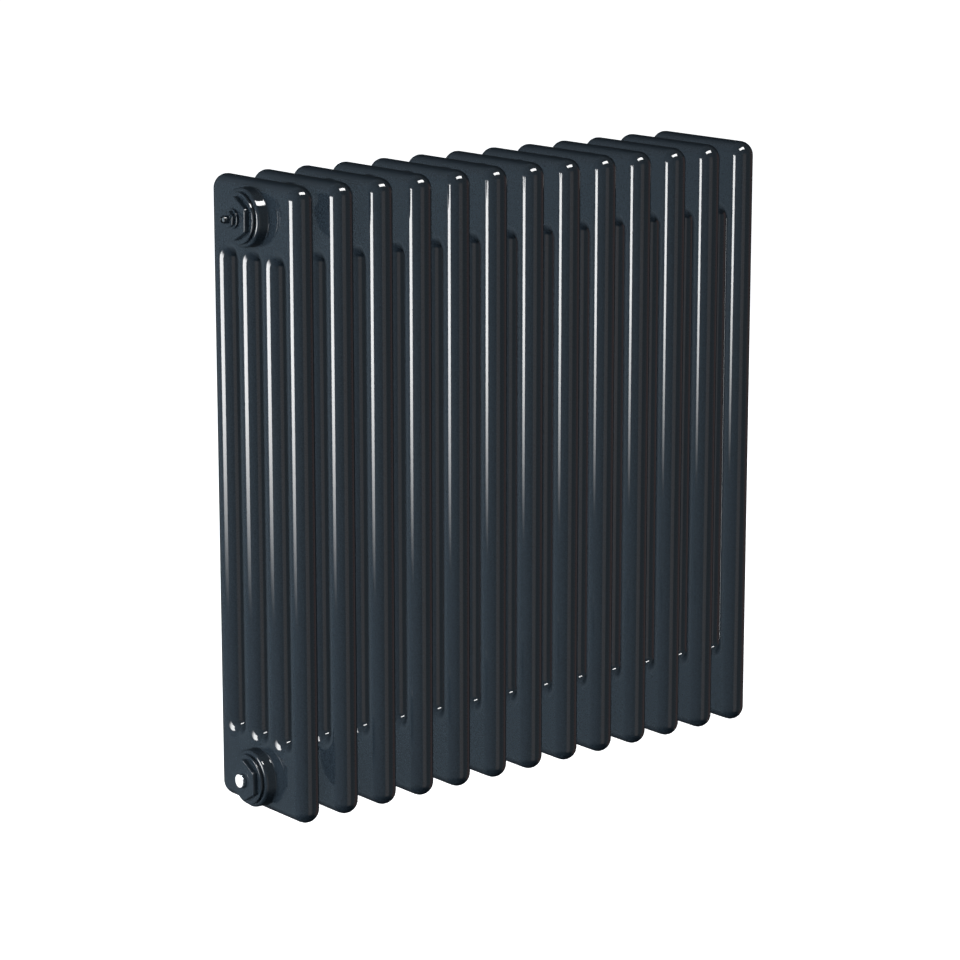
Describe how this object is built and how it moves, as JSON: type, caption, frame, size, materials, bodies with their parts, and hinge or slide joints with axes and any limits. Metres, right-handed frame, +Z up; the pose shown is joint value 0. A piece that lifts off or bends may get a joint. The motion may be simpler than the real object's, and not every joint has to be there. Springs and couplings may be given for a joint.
{
  "type": "column radiator",
  "caption": "Tubular steel column radiator with a painted finish, an air vent and a blanking plug at one end and open pipe ports at the other.",
  "frame": {"origin": "on the level of the underside, below the middle of the whole length and depth, air vent included", "axes": "+X along the radiator from the vented end to the end with the open ports, +Y from the front to the wall, +Z up"},
  "size_m": [0.617, 0.139, 0.6],
  "materials": {
    "paint": "satin anthracite powder coat with a very fine grain",
    "chrome": "polished chrome plate",
    "rubber": "plain black rubber"
  },
  "bodies": {
    "radiator": {"section_01": "paint", "section_02": "paint", "section_03": "paint", "section_04": "paint", "section_05": "paint", "section_06": "paint", "section_07": "paint", "section_08": "paint", "section_09": "paint", "section_10": "paint", "section_11": "paint", "section_12": "paint", "section_13": "paint", "hub_ring_top_01": "paint", "hub_ring_bottom_01": "paint", "hub_ring_top_02": "paint", "hub_ring_bottom_02": "paint", "hub_ring_top_03": "paint", "hub_ring_bottom_03": "paint", "hub_ring_top_04": "paint", "hub_ring_bottom_04": "paint", "hub_ring_top_05": "paint", "hub_ring_bottom_05": "paint", "hub_ring_top_06": "paint", "hub_ring_bottom_06": "paint", "hub_ring_top_07": "paint", "hub_ring_bottom_07": "paint", "hub_ring_top_08": "paint", "hub_ring_bottom_08": "paint", "hub_ring_top_09": "paint", "hub_ring_bottom_09": "paint", "hub_ring_top_10": "paint", "hub_ring_bottom_10": "paint", "hub_ring_top_11": "paint", "hub_ring_bottom_11": "paint", "hub_ring_top_12": "paint", "hub_ring_bottom_12": "paint", "end_boss_top_left": "paint", "end_boss_bottom_left": "paint", "end_boss_top_right": "paint", "end_boss_bottom_right": "paint", "reducing_bush_top_left": "paint", "reducing_bush_bottom_left": "paint", "reducing_bush_top_right": "paint", "reducing_bush_bottom_right": "paint", "air_vent_body": "paint", "bush_gasket_top_left": "rubber", "bush_gasket_bottom_left": "rubber", "bush_gasket_top_right": "rubber", "bush_gasket_bottom_right": "rubber", "air_vent_o_ring": "rubber", "blanking_plug_o_ring": "rubber", "blanking_plug": "chrome"},
    "bleed_seal": {"air_vent_seal": "rubber"},
    "bleed_screw": {"air_vent_screw": "chrome"}
  },
  "joints": [
    {"name": "bleed_screw_travel", "type": "slide", "parent": "radiator", "child": "bleed_seal", "axis": [-1, 0, 0], "range_m": [0, 0.0016]},
    {"name": "bleed_screw_turn", "type": "hinge", "parent": "bleed_seal", "child": "bleed_screw", "pos_m": [-0.3075, 0, 0.5665], "axis": [-1, 0, 0], "range_deg": [0, 720]}
  ],
  "couplings": [
    {"joint": "bleed_screw_turn", "follows": "bleed_screw_travel", "rad_per_m": 7854}
  ]
}
